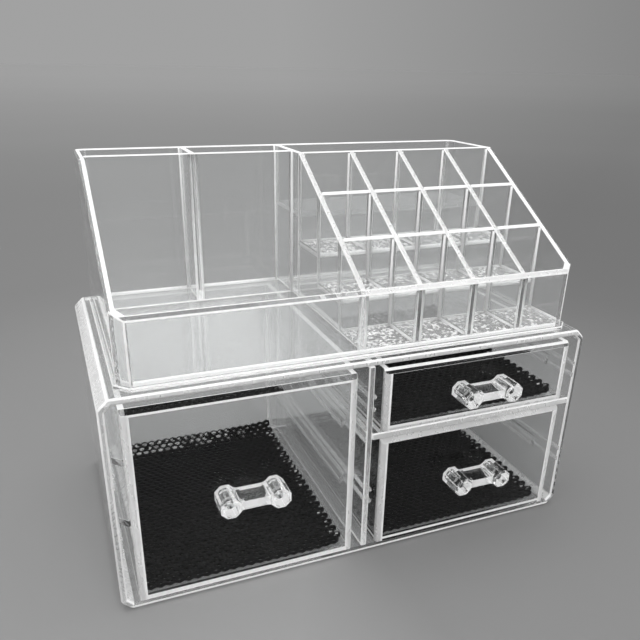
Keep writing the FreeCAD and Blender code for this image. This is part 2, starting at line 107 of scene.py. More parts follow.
@dataclass
class NodeDesk:
    """A material's node tree, with short calls for its nodes and links."""

    material: bpy.types.Material

    def __post_init__(self) -> None:
        """Clears the tree and adds the output node."""
        self.material.use_nodes = True
        self.tree = self.material.node_tree
        self.tree.nodes.clear()
        self.output = self.add("ShaderNodeOutputMaterial")

    def add(self, kind: str, **values: object) -> bpy.types.Node:
        """Adds a node and sets its properties.

        Args:
            kind: the node's Blender type.
            values: properties of the node by name.

        Returns:
            The new node.
        """
        node = self.tree.nodes.new(kind)
        for name, value in values.items():
            setattr(node, name, value)
        return node

    def link(self, source: Socket, target: Socket) -> None:
        """Links two sockets."""
        self.tree.links.new(source, target)

    def object_point(self) -> Socket:
        """Returns the Object coordinates' socket."""
        return self.add("ShaderNodeTexCoord").outputs["Object"]

    def noise(self, point: Socket, scale: float, detail: float = 2.0) -> Socket:
        """Adds a noise texture.

        Args:
            point: the coordinates it reads.
            scale: cells per metre.
            detail: finer layers.

        Returns:
            The noise's value.
        """
        node = self.add("ShaderNodeTexNoise")
        node.inputs["Scale"].default_value = scale
        node.inputs["Detail"].default_value = detail
        self.link(point, node.inputs["Vector"])
        return node.outputs["Fac"]

    def stretched(self, point: Socket, scale: tuple[float, float, float]) -> Socket:
        """Scales coordinates by axis.

        Args:
            point: the coordinates.
            scale: factors for X, Y and Z.

        Returns:
            The scaled coordinates.
        """
        node = self.add("ShaderNodeMapping")
        node.inputs["Scale"].default_value = scale
        self.link(point, node.inputs["Vector"])
        return node.outputs["Vector"]

    def turned(self, point: Socket, angle: float) -> Socket:
        """Turns coordinates about Z.

        Args:
            point: the coordinates.
            angle: the turn in radians.

        Returns:
            The turned coordinates.
        """
        node = self.add("ShaderNodeMapping")
        node.inputs["Rotation"].default_value = (0.0, 0.0, angle)
        self.link(point, node.inputs["Vector"])
        return node.outputs["Vector"]

    def ranged(
        self, value: Socket, low: float, high: float, start: float = 0.3, stop: float = 0.7
    ) -> Socket:
        """Maps a value onto a range.

        Args:
            value: the value read.
            low: the result at start.
            high: the result at stop.
            start: where the range begins.
            stop: where the range ends.

        Returns:
            The mapped value.
        """
        node = self.add("ShaderNodeMapRange")
        for name, number in (("From Min", start), ("From Max", stop), ("To Min", low), ("To Max", high)):
            node.inputs[name].default_value = number
        self.link(value, node.inputs["Value"])
        return node.outputs["Result"]

    def bumped(self, height: Socket, strength: float, distance: float) -> Socket:
        """Turns a height into a bumped normal.

        Args:
            height: the height field.
            strength: how much of the bump shows.
            distance: its height in metres.

        Returns:
            The normal.
        """
        node = self.add("ShaderNodeBump")
        node.inputs["Strength"].default_value = strength
        node.inputs["Distance"].default_value = distance
        self.link(height, node.inputs["Height"])
        return node.outputs["Normal"]

    def times(self, first: Socket, second: Socket) -> Socket:
        """Multiplies two values.

        Args:
            first: one value.
            second: the other.

        Returns:
            The product's socket.
        """
        node = self.add("ShaderNodeMath", operation="MULTIPLY")
        self.link(first, node.inputs[0])
        self.link(second, node.inputs[1])
        return node.outputs["Value"]

    def grey(self, value: Socket) -> Socket:
        """Turns a value into a grey colour.

        Args:
            value: the grey's level.

        Returns:
            The colour's socket.
        """
        node = self.add("ShaderNodeCombineColor")
        for channel in ("Red", "Green", "Blue"):
            self.link(value, node.inputs[channel])
        return node.outputs["Color"]

    def let_light_through(self, shader: Socket, share: float) -> Socket:
        """Lets lamps shine straight through a clear surface.

        Args:
            shader: the surface's own shader.
            share: the share of light that passes.

        Returns:
            The mixed shader.
        """
        path = self.add("ShaderNodeLightPath")
        through = self.add("ShaderNodeBsdfTransparent")
        through.inputs["Color"].default_value = (share, share, share, 1.0)
        mix = self.add("ShaderNodeMixShader")
        self.link(path.outputs["Is Shadow Ray"], mix.inputs["Fac"])
        self.link(shader, mix.inputs[1])
        self.link(through.outputs["BSDF"], mix.inputs[2])
        return mix.outputs["Shader"]


@dataclass(frozen=True)
class ClearPlastic:
    """Moulded clear plastic: polished faces with the faint waves and scuffs of moulding and use."""

    name: str = "polished_plastic"
    tint: tuple[float, float, float] = (0.970, 0.975, 0.975)
    clearness: float = 1.0
    glance: float = 0.20
    index: float = 1.49
    polish: float = 0.015
    scuffed: float = 0.07
    scuff_scale: float = 45.0
    scuff_span: tuple[float, float] = (0.45, 0.75)
    wave_scale: float = 28.0
    wave_strength: float = 0.35
    wave_height: float = 0.00002
    passes: float = 0.95

    def material(self) -> bpy.types.Material:
        """Builds the material.

        Returns:
            The finished material.
        """
        desk = NodeDesk(bpy.data.materials.new(self.name))
        surface = desk.add("ShaderNodeBsdfPrincipled")
        surface.inputs["Base Color"].default_value = (*self.tint, 1.0)
        surface.inputs["Transmission Weight"].default_value = self.clearness
        surface.inputs["Specular Tint"].default_value = (self.glance, self.glance, self.glance, 1.0)
        surface.inputs["IOR"].default_value = self.index
        point = desk.object_point()
        scuffs = desk.noise(point, self.scuff_scale, detail=5.0)
        roughness = desk.ranged(scuffs, self.polish, self.scuffed, *self.scuff_span)
        desk.link(roughness, surface.inputs["Roughness"])
        waves = desk.noise(point, self.wave_scale, detail=1.0)
        desk.link(desk.bumped(waves, self.wave_strength, self.wave_height), surface.inputs["Normal"])
        desk.link(desk.let_light_through(surface.outputs["BSDF"], self.passes), desk.output.inputs["Surface"])
        return desk.material


@dataclass(frozen=True)
class PebbledPlastic:
    """Clear plastic with the pebbled grain of the cells' floors."""

    name: str = "pebbled_plastic"
    tint: tuple[float, float, float] = (0.97, 0.97, 0.97)
    clearness: float = 0.90
    index: float = 1.49
    polish: float = 0.03
    scuffed: float = 0.14
    scuff_scale: float = 300.0
    cells: float = 430.0
    pebble_height: float = 0.0012
    passes: float = 0.92

    def material(self) -> bpy.types.Material:
        """Builds the material.

        Returns:
            The finished material.
        """
        desk = NodeDesk(bpy.data.materials.new(self.name))
        surface = desk.add("ShaderNodeBsdfPrincipled")
        surface.inputs["Base Color"].default_value = (*self.tint, 1.0)
        surface.inputs["Transmission Weight"].default_value = self.clearness
        surface.inputs["IOR"].default_value = self.index
        point = desk.object_point()
        scuffs = desk.noise(point, self.scuff_scale)
        desk.link(desk.ranged(scuffs, self.polish, self.scuffed), surface.inputs["Roughness"])
        pebbles = desk.add("ShaderNodeTexVoronoi", feature="SMOOTH_F1")
        pebbles.inputs["Scale"].default_value = self.cells
        desk.link(point, pebbles.inputs["Vector"])
        normal = desk.bumped(pebbles.outputs["Distance"], strength=1.0, distance=self.pebble_height)
        desk.link(normal, surface.inputs["Normal"])
        desk.link(desk.let_light_through(surface.outputs["BSDF"], self.passes), desk.output.inputs["Surface"])
        return desk.material


@dataclass(frozen=True)
class PaintedLightRim:
    """Painted light: the ends of clear walls painted white, where light piped along the wall comes out."""

    name: str = "frosted_rim"
    dull: float = 0.86
    bright: float = 1.00
    index: float = 1.0
    clearness: float = 0.08
    rough: float = 0.42
    smooth: float = 0.18
    streak_stretch: tuple[float, float, float] = (70.0, 70.0, 25.0)
    streak_scale: float = 4.0
    saw_scale: float = 900.0
    saw_strength: float = 0.15
    saw_height: float = 0.0002

    def material(self) -> bpy.types.Material:
        """Builds the material.

        Returns:
            The finished material.
        """
        desk = NodeDesk(bpy.data.materials.new(self.name))
        surface = desk.add("ShaderNodeBsdfPrincipled")
        surface.inputs["Transmission Weight"].default_value = self.clearness
        surface.inputs["IOR"].default_value = self.index
        point = desk.object_point()
        streaks = desk.noise(desk.stretched(point, self.streak_stretch), self.streak_scale, detail=4.0)
        desk.link(desk.grey(desk.ranged(streaks, self.dull, self.bright)), surface.inputs["Base Color"])
        desk.link(desk.ranged(streaks, self.rough, self.smooth), surface.inputs["Roughness"])
        saw_lines = desk.noise(point, self.saw_scale)
        desk.link(desk.bumped(saw_lines, self.saw_strength, self.saw_height), surface.inputs["Normal"])
        desk.link(surface.outputs["BSDF"], desk.output.inputs["Surface"])
        return desk.material


@dataclass(frozen=True)
class BlackNet:
    """Soft black net: a matt strand with a fine knitted grain and a little dust."""

    name: str = "woven_net"
    dark: float = 0.002
    dusty: float = 0.006
    dust_scale: float = 60.0
    dust_span: tuple[float, float] = (0.4, 0.75)
    gloss: float = 0.07
    smooth: float = 0.46
    rough: float = 0.68
    fibre_scale: float = 3200.0
    fibre_stretch: tuple[float, float, float] = (1.0, 0.35, 1.0)
    fibre_strength: float = 0.55
    fibre_height: float = 0.00015

    def material(self) -> bpy.types.Material:
        """Builds the material.

        Returns:
            The finished material.
        """
        desk = NodeDesk(bpy.data.materials.new(self.name))
        surface = desk.add("ShaderNodeBsdfPrincipled")
        surface.inputs["Specular IOR Level"].default_value = self.gloss
        point = desk.object_point()
        dust = desk.noise(point, self.dust_scale, detail=6.0)
        tone = desk.grey(desk.ranged(dust, self.dark, self.dusty, *self.dust_span))
        desk.link(tone, surface.inputs["Base Color"])
        desk.link(desk.ranged(dust, self.smooth, self.rough), surface.inputs["Roughness"])
        fibres = desk.noise(desk.stretched(point, self.fibre_stretch), self.fibre_scale, detail=3.0)
        desk.link(desk.bumped(fibres, self.fibre_strength, self.fibre_height), surface.inputs["Normal"])
        desk.link(surface.outputs["BSDF"], desk.output.inputs["Surface"])
        return desk.material


@dataclass(frozen=True)
class NetGlint:
    """The inner faces of the net's raised edge, smoother and painted lighter grey as a painted glint where
    they catch the light.
    """

    name: str = "net_glint"
    dark: float = 0.12
    bright: float = 0.60
    speck_scale: float = 400.0
    smooth: float = 0.25
    rough: float = 0.45
    gloss_scale: float = 900.0

    def material(self) -> bpy.types.Material:
        """Builds the material.

        Returns:
            The finished material.
        """
        desk = NodeDesk(bpy.data.materials.new(self.name))
        surface = desk.add("ShaderNodeBsdfPrincipled")
        point = desk.object_point()
        tone = desk.grey(desk.ranged(desk.noise(point, self.speck_scale), self.dark, self.bright))
        desk.link(tone, surface.inputs["Base Color"])
        roughness = desk.ranged(desk.noise(point, self.gloss_scale), self.smooth, self.rough)
        desk.link(roughness, surface.inputs["Roughness"])
        desk.link(surface.outputs["BSDF"], desk.output.inputs["Surface"])
        return desk.material


@dataclass(frozen=True)
class StudioGrey:
    """The seamless grey floor with painted light and shade: its tone ramps with distance from the floor's
    middle, paler towards the far horizon and the lamp's side and dimmed on the side away from the lamp.
    """

    name: str = "studio_grey"
    roughness: float = 0.75
    gloss: float = 0.15
    mottle: float = 0.006
    mottle_scale: float = 1.4
    reach: float = 12.0
    lamp_turn: float = math.radians(21.7)
    near_dim: float = 0.775
    dim: float = 0.72
    far_dim: float = 0.64
    left_dim: float = 0.88
    near_span: tuple[float, float] = (0.25, 0.55)
    far_span: tuple[float, float] = (1.2, 4.0)
    left_span: tuple[float, float] = (-1.0, -0.3)
    dims_from: float = -0.05
    dims_to: float = 0.45
    # Painted light and shade: the floor's tone by distance from its middle, darkest a little way around the
    # object and paler far off.
    painted_light_tones: tuple[tuple[float, float], ...] = (
        (0.0125, 0.290),
        (0.0375, 0.226),
        (0.0583, 0.238),
        (0.0833, 0.262),
        (0.1667, 0.385),
        (0.222, 0.426),
        (0.280, 0.455),
        (0.375, 0.486),
        (0.558, 0.522),
        (1.0, 0.543),
    )

    def material(self) -> bpy.types.Material:
        """Builds the material.

        Returns:
            The finished material.
        """
        desk = NodeDesk(bpy.data.materials.new(self.name))
        surface = desk.add("ShaderNodeBsdfPrincipled")
        surface.inputs["Roughness"].default_value = self.roughness
        surface.inputs["Specular IOR Level"].default_value = self.gloss
        point = desk.object_point()
        clouds = desk.noise(point, self.mottle_scale, detail=3.0)
        mottled = desk.ranged(clouds, 1.0 - self.mottle, 1.0 + self.mottle)
        away = desk.add("ShaderNodeVectorMath", operation="LENGTH")
        desk.link(point, away.inputs[0])
        outward = desk.add("ShaderNodeVectorMath", operation="NORMALIZE")
        desk.link(desk.turned(point, self.lamp_turn), outward.inputs[0])
        parts = desk.add("ShaderNodeSeparateXYZ")
        desk.link(outward.outputs["Vector"], parts.inputs["Vector"])
        turned_away = desk.ranged(parts.outputs["X"], 0.0, 1.0, self.dims_from, self.dims_to)
        near = desk.ranged(away.outputs["Value"], self.near_dim, self.dim, *self.near_span)
        far = desk.ranged(away.outputs["Value"], 1.0, self.far_dim / self.dim, *self.far_span)
        loss = desk.ranged(desk.times(near, far), 1.0, 0.0, 0.0, 1.0)
        # Painted shade on the side away from the lamp.
        painted_side_shade = desk.ranged(desk.times(turned_away, loss), 1.0, 0.0, 0.0, 1.0)
        far_left = desk.ranged(parts.outputs["X"], self.left_dim, 1.0, *self.left_span)
        sideways = desk.times(painted_side_shade, far_left)
        ramp = desk.add("ShaderNodeValToRGB")
        desk.link(desk.ranged(away.outputs["Value"], 0.0, 1.0, 0.0, self.reach), ramp.inputs["Fac"])
        stops = ramp.color_ramp.elements
        stops[0].position, stops[1].position = self.painted_light_tones[0][0], self.painted_light_tones[-1][0]
        for position, _ in self.painted_light_tones[1:-1]:
            stops.new(position)
        for stop, (_, tone) in zip(stops, self.painted_light_tones):
            stop.color = (tone, tone, tone, 1.0)
        tone = desk.times(desk.times(mottled, sideways), ramp.outputs["Color"])
        desk.link(desk.grey(tone), surface.inputs["Base Color"])
        desk.link(surface.outputs["BSDF"], desk.output.inputs["Surface"])
        return desk.material


HAZY_PLASTIC = ClearPlastic(name="hazy_plastic", clearness=0.962, glance=1.0)
VEILED_PLASTIC = ClearPlastic(name="veiled_plastic", clearness=0.78, glance=1.0)
CLOUDY_PLASTIC = ClearPlastic(name="cloudy_plastic", clearness=0.95, glance=1.0)
# A dark tint painted as a reflection of the black net seen in the rack columns' front ends.
NET_REFLECTION_PLASTIC = ClearPlastic(name="smoky_plastic", tint=(0.12, 0.12, 0.12))
JEWEL_PLASTIC = ClearPlastic(name="jewel_plastic", glance=1.0, polish=0.0, scuffed=0.03)
# Painted light at half strength: a dimmer, half-clear white for ends and bands.
HALF_LIT_RIM = PaintedLightRim(name="satin_rim", dull=0.92, clearness=0.45)


@dataclass
class Finishes:
    """All finishes, built once."""

    clear: bpy.types.Material = field(default_factory=lambda: ClearPlastic().material())
    hazy: bpy.types.Material = field(default_factory=lambda: HAZY_PLASTIC.material())
    cloudy: bpy.types.Material = field(default_factory=lambda: CLOUDY_PLASTIC.material())
    veiled: bpy.types.Material = field(default_factory=lambda: VEILED_PLASTIC.material())
    jewel: bpy.types.Material = field(default_factory=lambda: JEWEL_PLASTIC.material())
    net_reflection: bpy.types.Material = field(default_factory=lambda: NET_REFLECTION_PLASTIC.material())
    rim: bpy.types.Material = field(default_factory=lambda: PaintedLightRim().material())
    half_lit: bpy.types.Material = field(default_factory=lambda: HALF_LIT_RIM.material())
    pebbled: bpy.types.Material = field(default_factory=lambda: PebbledPlastic().material())
    net: bpy.types.Material = field(default_factory=lambda: BlackNet().material())
    glint: bpy.types.Material = field(default_factory=lambda: NetGlint().material())
    paper: bpy.types.Material = field(default_factory=lambda: StudioGrey().material())

    def palette(self) -> list[bpy.types.Material]:
        """Returns the materials of clear pieces in the order of Skin."""
        bright = [self.clear, self.rim, self.pebbled, self.half_lit]
        return bright + [self.hazy, self.cloudy, self.veiled, self.jewel, self.net_reflection]


@dataclass
class ClearPart:
    """A clear CAD node's copy with polished corners, painted bright where light comes out of its edges."""

    node: str
    body: str
    broad: Skin = Skin.HAZY
    corner: float = 0.0006
    air: float = 0.00003
    longest_move: float = 0.00012
    flat: float = math.radians(0.3)
    slight: float = math.radians(0.5)
    sharp: float = math.radians(24.0)
    widest_facet: float = 0.0018
    low: Vector = field(init=False)
    high: Vector = field(init=False)

    def build(self, finishes: Finishes) -> bpy.types.Object:
        """Makes the piece that stands for the CAD node.

        Args:
            finishes: the materials.

        Returns:
            The dressed piece.
        """
        self.low, self.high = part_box(self.node)
        shape = self.merged_copy()
        self.pull_in(shape)
        self.polish_corners(shape)
        for place, across in self.cuts():
            self.cut(shape, Skin.CLEAR, place, across)
        shape.normal_update()
        for face in shape.faces:
            is_corner = face.material_index == Skin.RIM.value
            face.material_index = (self.corner_skin(face) if is_corner else self.skin(face)).value
        self.set_shading(shape)
        self.roughen(shape)
        name = self.node + "_clear"
        mesh = bpy.data.meshes.new(name)
        shape.to_mesh(mesh)
        shape.free()
        self.dress(mesh, finishes)
        piece = bpy.data.objects.new(name, mesh)
        bpy.context.scene.collection.objects.link(piece)
        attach(piece, self.body)
        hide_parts(self.node)
        LOG.info("%s: %d faces", name, len(mesh.polygons))
        return piece

    def cuts(self) -> Iterator[tuple[Vector, Vector]]:
        """Yields the planes that part finishes on one face, each as a point and a normal."""
        yield from ()

    def skin(self, face: bmesh.types.BMFace) -> Skin:
        """Returns the finish of a face."""
        return self.broad

    def corner_skin(self, face: bmesh.types.BMFace) -> Skin:
        """Returns the finish of a polished corner's strip."""
        return Skin.RIM

    def roughen(self, shape: bmesh.types.BMesh) -> None:
        """Adds the relief of the piece's faces, none on plain pieces."""

    def dress(self, mesh: bpy.types.Mesh, finishes: Finishes) -> None:
        """Gives the mesh the materials that its faces use.

        Args:
            mesh: the piece's mesh.
            finishes: the materials.
        """
        palette = finishes.palette()
        used = sorted({face.material_index for face in mesh.polygons})
        for place in used:
            mesh.materials.append(palette[place])
        for face in mesh.polygons:
            face.material_index = used.index(face.material_index)

    def merged_copy(self) -> bmesh.types.BMesh:
        """Copies the node's loose triangles into one mesh of flat faces.

        Returns:
            The merged copy.
        """
        shape = bmesh.new()
        shape.from_mesh(bpy.data.objects[self.node].data)
        bmesh.ops.remove_doubles(shape, verts=shape.verts, dist=WELD)
        bmesh.ops.dissolve_limit(
            shape, angle_limit=self.flat, verts=shape.verts, edges=shape.edges, use_dissolve_boundaries=False
        )
        for face in shape.faces:
            face.material_index = Skin.CLEAR.value
        return shape

    def cut(self, shape: bmesh.types.BMesh, skin: Skin, place: Vector, across: Vector) -> None:
        """Cuts the faces of one finish along a plane and keeps both sides.

        Args:
            shape: the piece.
            skin: the finish of the faces that are cut.
            place: a point of the plane.
            across: the plane's normal.
        """
        faces = [face for face in shape.faces if face.material_index == skin.value]
        around = dict.fromkeys(item for face in faces for item in (*face.verts, *face.edges))
        bmesh.ops.bisect_plane(shape, geom=[*faces, *around], dist=WELD / 2, plane_co=place, plane_no=across)

    def pull_in(self, shape: bmesh.types.BMesh) -> None:
        """Moves every face inwards by the hairline of air between neighbours.

        Args:
            shape: the piece.
        """
        shape.normal_update()
        moves = {}
        for vert in shape.verts:
            normals = np.array([face.normal[:] for face in vert.link_faces])
            shift, *_ = np.linalg.lstsq(normals, np.full(len(normals), -self.air), rcond=1e-3)
            length = float(np.linalg.norm(shift))
            moves[vert] = Vector(shift * min(1.0, self.longest_move / max(length, self.air)))
        for vert, shift in moves.items():
            vert.co += shift

    def polish_corners(self, shape: bmesh.types.BMesh) -> None:
        """Rounds the outer corners to thin strips painted as bright lines of light.

        Args:
            shape: the piece.
        """
        if self.corner <= 0.0:
            return
        edges = [edge for edge in shape.edges if edge.is_manifold and edge.is_convex]
        bmesh.ops.bevel(
            shape,
            geom=[edge for edge in edges if edge.calc_face_angle(0.0) > self.sharp],
            offset=self.corner,
            offset_type="OFFSET",
            segments=1,
            profile=0.5,
            affect="EDGES",
            clamp_overlap=True,
            material=Skin.RIM.value,
        )

    def set_shading(self, shape: bmesh.types.BMesh) -> None:
        """Shades rounded faces smooth and flat faces flat.

        Args:
            shape: the piece.
        """
        for face in shape.faces:
            turns = [edge.calc_face_angle(0.0) for edge in face.edges if edge.is_manifold]
            width = face.calc_area() / max(edge.calc_length() for edge in face.edges)
            rounded = any(self.slight < turn < self.sharp for turn in turns)
            face.smooth = rounded and width < self.widest_facet


@dataclass
class Wall(ClearPart):
    """A flat upright wall, painted bright along its top as painted light."""

    corner: float = 0.0004
    top: Skin = Skin.RIM
    left_end: Skin = Skin.CLEAR
    front_end: Skin = Skin.CLEAR

    def skin(self, face: bmesh.types.BMFace) -> Skin:
        """Tells which finish a face takes.

        Args:
            face: the face.

        Returns:
            Its finish.
        """
        sides = self.high - self.low
        if abs(face.normal.x if sides.x < sides.y else face.normal.y) > FACING:
            return self.broad
        if abs(face.normal.z) > LEANING:
            return self.top
        if face.normal.y < -FACING:
            return self.front_end
        return self.left_end if face.normal.x < -FACING else Skin.CLEAR


@dataclass
class Floor(ClearPart):
    """A flat floor, painted bright along its sides as painted light, and grained from some place on."""

    side: Skin = Skin.RIM
    left_end: Skin = Skin.RIM
    grained_from: float | None = None
    grain: float = 0.0013
    grain_height: float = 0.0004
    grain_shift_share: float = 0.35
    painted_glint_share: float = 0.16
    painted_half_glint_share: float = 0.26
    fading: float = 1.2
    seed: int = 11

    def cuts(self) -> Iterator[tuple[Vector, Vector]]:
        """Yields the plane where the grain starts."""
        if self.grained_from is not None:
            yield X_AXIS * self.grained_from, X_AXIS

    def skin(self, face: bmesh.types.BMFace) -> Skin:
        """Tells which finish a face takes.

        Args:
            face: the face.

        Returns:
            Its finish.
        """
        if abs(face.normal.z) < FACING:
            return self.left_end if face.normal.x < -FACING else self.side
        if self.grained_from is None or face.normal.z < 0.0:
            return self.broad
        return Skin.PEBBLED if face.calc_center_median().x > self.grained_from else Skin.CLOUDY

    def roughen(self, shape: bmesh.types.BMesh) -> None:
        """Breaks the grained part into small uneven facets, some of them painted bright or half-bright as
        painted glints, fewer to the right.

        Args:
            shape: the piece.
        """
        grained = [face for face in shape.faces if face.material_index == Skin.PEBBLED.value]
        for axis in (X_AXIS, Y_AXIS) if grained else ():
            ends = [vert.co.dot(axis) for face in grained for vert in face.verts]
            for step in range(1, int((max(ends) - min(ends)) / self.grain)):
                self.cut(shape, Skin.PEBBLED, axis * (min(ends) + step * self.grain), axis)
            grained = [face for face in shape.faces if face.material_index == Skin.PEBBLED.value]
        chance = random.Random(self.seed)
        shift = self.grain * self.grain_shift_share
        for vert in shape.verts:
            if all(face.material_index == Skin.PEBBLED.value for face in vert.link_faces):
                aside = [shift * chance.uniform(-1.0, 1.0) for _ in range(2)]
                vert.co += Vector((*aside, -self.grain_height * chance.random()))
        for face in grained:
            rightwards = max(0.0, face.calc_center_median().x / self.high.x)
            draw = chance.random() * (1.0 + self.fading * rightwards)
            if draw < self.painted_glint_share:
                face.material_index = Skin.RIM.value
            elif draw < self.painted_glint_share + self.painted_half_glint_share:
                face.material_index = Skin.SATIN.value


@dataclass
class Shell(ClearPart):
    """The cabinet's tube, with its slanting corners, back end and front of the top painted half-bright as
    painted light.
    """

    corner: float = 0.0008
    wall: float = 0.0030
    foot_line: float = 0.0019

    def cuts(self) -> Iterator[tuple[Vector, Vector]]:
        """Yields the planes under the top and over the painted bright line at the foot."""
        for height in (self.high.z - self.wall, self.low.z + self.foot_line):
            yield Z_AXIS * height, Z_AXIS

    def skin(self, face: bmesh.types.BMFace) -> Skin:
        """Tells which finish a face takes.

        Args:
            face: the face.

        Returns:
            Its finish.
        """
        normal = face.normal
        slanting = abs(normal.x) > LEANING and abs(normal.z) > LEANING
        height = face.calc_center_median().z
        if normal.y < -FACING and height < self.low.z + self.foot_line:
            return Skin.RIM
        over_front = normal.y < -FACING and height > self.high.z - self.wall
        return Skin.SATIN if normal.y > FACING or slanting or over_front else self.broad

    def corner_skin(self, face: bmesh.types.BMFace) -> Skin:
        """Tells which finish a polished corner's strip takes.

        Args:
            face: the strip.

        Returns:
            Bright, but hazy along the inside of the bottom.
        """
        at_bottom = face.calc_center_median().z < self.low.z + self.wall + SKIM
        inside = at_bottom and face.normal.z > LEANING
        return Skin.HAZY if inside else Skin.RIM


@dataclass
class Tub(ClearPart):
    """A drawer's tub, whose wall ends show as bright borders on its front, painted as painted light with
    painted highlight lines.
    """

    corner: float = 0.0004
    wall: float = 0.0026
    facet: float = 0.0022
    line: float = 0.0010
    foot_line: float = 0.0014
    front_depth: float = 0.0010
    brow: Brow = Brow.LINE_BELOW
    foot_band: bool = False

    def runner_width(self) -> float:
        """Measures the runners on the CAD node, which stop behind its front.

        Returns:
            How far the runners stand out of the tub's sides.
        """
        places = [vert.co for vert in bpy.data.objects[self.node].data.vertices]
        front_left = min(place.x for place in places if place.y < self.low.y + self.front_depth)
        return max(0.0, front_left - self.low.x)

    def cuts(self) -> Iterator[tuple[Vector, Vector]]:
        """Yields the planes along the inner faces of the walls and floor, and of the painted highlight lines
        there.
        """
        inset = self.runner_width() + self.wall
        left, right = self.low.x + inset, self.high.x - inset
        for x in (left, left + self.line, right, right - self.line):
            yield X_AXIS * x, X_AXIS
        for y in (self.low.y + self.wall, self.high.y - self.wall):
            yield Y_AXIS * y, Y_AXIS
        for z in (self.low.z + self.wall, self.low.z + self.wall - self.foot_line):
            yield Z_AXIS * z, Z_AXIS
        drop = self.facet if self.brow is Brow.LINE_BELOW else 0.0
        yield Z_AXIS * (self.high.z - drop - self.line), Z_AXIS

    def skin(self, face: bmesh.types.BMFace) -> Skin:
        """Tells which finish a face takes.

        Args:
            face: the face.

        Returns:
            Its finish.
        """
        normal, middle = face.normal, face.calc_center_median()
        if normal.z > FACING and middle.z > self.high.z - SKIM:
            return Skin.RIM
        if normal.y < -LEANING and normal.z > LEANING:
            return self.facet_skin(middle.z)
        from_side = min(middle.x - self.low.x, self.high.x - middle.x) - self.runner_width()
        from_end = min(middle.y - self.low.y, self.high.y - middle.y)
        if abs(normal.y) > FACING and from_end < SKIM:
            return self.end_skin(from_side, middle.z)
        floor = self.low.z + self.wall
        outer = abs(normal.z) < LEANING < abs(normal.x) and from_side < self.wall - SKIM
        if outer and from_end < self.wall:
            return Skin.SATIN
        if outer and floor - self.foot_line < middle.z < floor:
            return Skin.RIM
        if middle.y < self.low.y + self.wall + SKIM:
            return Skin.CLEAR
        if normal.x > FACING or (outer and middle.x < (self.low.x + self.high.x) / 2):
            return Skin.CLEAR
        return Skin.VEILED if normal.x < -FACING and from_side > self.wall - SKIM else self.broad

    def facet_skin(self, height: float) -> Skin:
        """Tells which finish a part of the facet over the front takes.

        Args:
            height: its height.

        Returns:
            A painted highlight: bright on a line along its top or half-bright as a band; clear elsewhere.
        """
        if self.brow is Brow.BAND:
            return Skin.SATIN
        on_line = self.brow is Brow.LINE_ABOVE and height > self.high.z - self.line
        return Skin.RIM if on_line else Skin.CLEAR

    def end_skin(self, from_side: float, height: float) -> Skin:
        """Tells which finish a part of the front or back takes.

        Args:
            from_side: its distance from the tub's side.
            height: its height.

        Returns:
            Painted light: half-bright for the ends of the side walls, bright highlight lines beside them,
                clear elsewhere.
        """
        floor, brow = self.low.z + self.wall, self.high.z - self.facet
        if from_side < self.wall:
            return Skin.SATIN
        if from_side < self.wall + self.line or floor - self.foot_line < height < floor:
            return Skin.RIM
        if height < floor:
            return Skin.SATIN if self.foot_band else Skin.CLEAR
        on_line = self.brow is Brow.LINE_BELOW and brow - self.line < height < brow
        return Skin.RIM if on_line else Skin.CLEAR


@dataclass
class Handle(ClearPart):
    """A handle, painted bright on the back where it meets the drawer, as painted light."""

    broad: Skin = Skin.JEWEL
    corner: float = 0.0003

    def skin(self, face: bmesh.types.BMFace) -> Skin:
        """Tells which finish a face takes.

        Args:
            face: the face.

        Returns:
            Its finish.
        """
        at_back = face.calc_center_median().y > self.high.y - SKIM
        return Skin.RIM if at_back and face.normal.y > FACING else self.broad


@dataclass
class TrayWall(ClearPart):
    """The tray's outer wall: slanting rims painted bright as painted light, a clear rim in front and a hazy
    foot.
    """

    corner: float = 0.0005
    rack_left: float = 0.0
    bay: float = 0.0023
    line: float = 0.0008
    bright_rim: float = 0.0018
    clear_rim: float = 0.0022
    foot_zone: float = 0.0200
    front_inner: float = field(init=False)
    bright_inside: float = field(init=False)

    def __post_init__(self) -> None:
        """Takes the places of the strips from the floor inside the wall."""
        floor_low, floor_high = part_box("tray_floor")
        self.front_inner = floor_low.y
        self.bright_inside = floor_high.x + self.bright_rim

    def cuts(self) -> Iterator[tuple[Vector, Vector]]:
        """Yields the planes that part the bright and the clear strips of the rim."""
        for y in (self.front_inner + self.bay, self.front_inner - self.line):
            yield Y_AXIS * y, Y_AXIS
        for x in (-self.bright_inside, self.rack_left, self.bright_inside):
            yield X_AXIS * x, X_AXIS

    def above_foot(self, face: bmesh.types.BMFace) -> bool:
        """Tells whether a face belongs to the rim, not to the foot."""
        return face.calc_center_median().z > self.low.z + self.foot_zone

    def skin(self, face: bmesh.types.BMFace) -> Skin:
        """Tells which finish a face takes.

        Args:
            face: the face.

        Returns:
            Its finish.
        """
        middle = face.calc_center_median()
        if abs(face.normal.z) < LEANING:
            return self.broad
        if not self.above_foot(face):
            return Skin.HAZY
        if abs(middle.x) > self.bright_inside:
            return Skin.CLEAR
        if middle.y > self.front_inner - self.line:
            return Skin.RIM
        return Skin.SATIN if middle.x > self.rack_left else Skin.CLEAR

    def corner_skin(self, face: bmesh.types.BMFace) -> Skin:
        """Tells which finish a polished corner's strip takes.

        Args:
            face: the strip.

        Returns:
            Bright, but hazy along the outside of the slanting rims.
        """
        outside = abs(face.calc_center_median().x) > self.high.x - self.clear_rim
        return Skin.HAZY if outside and face.normal.z > LEANING and self.above_foot(face) else Skin.RIM


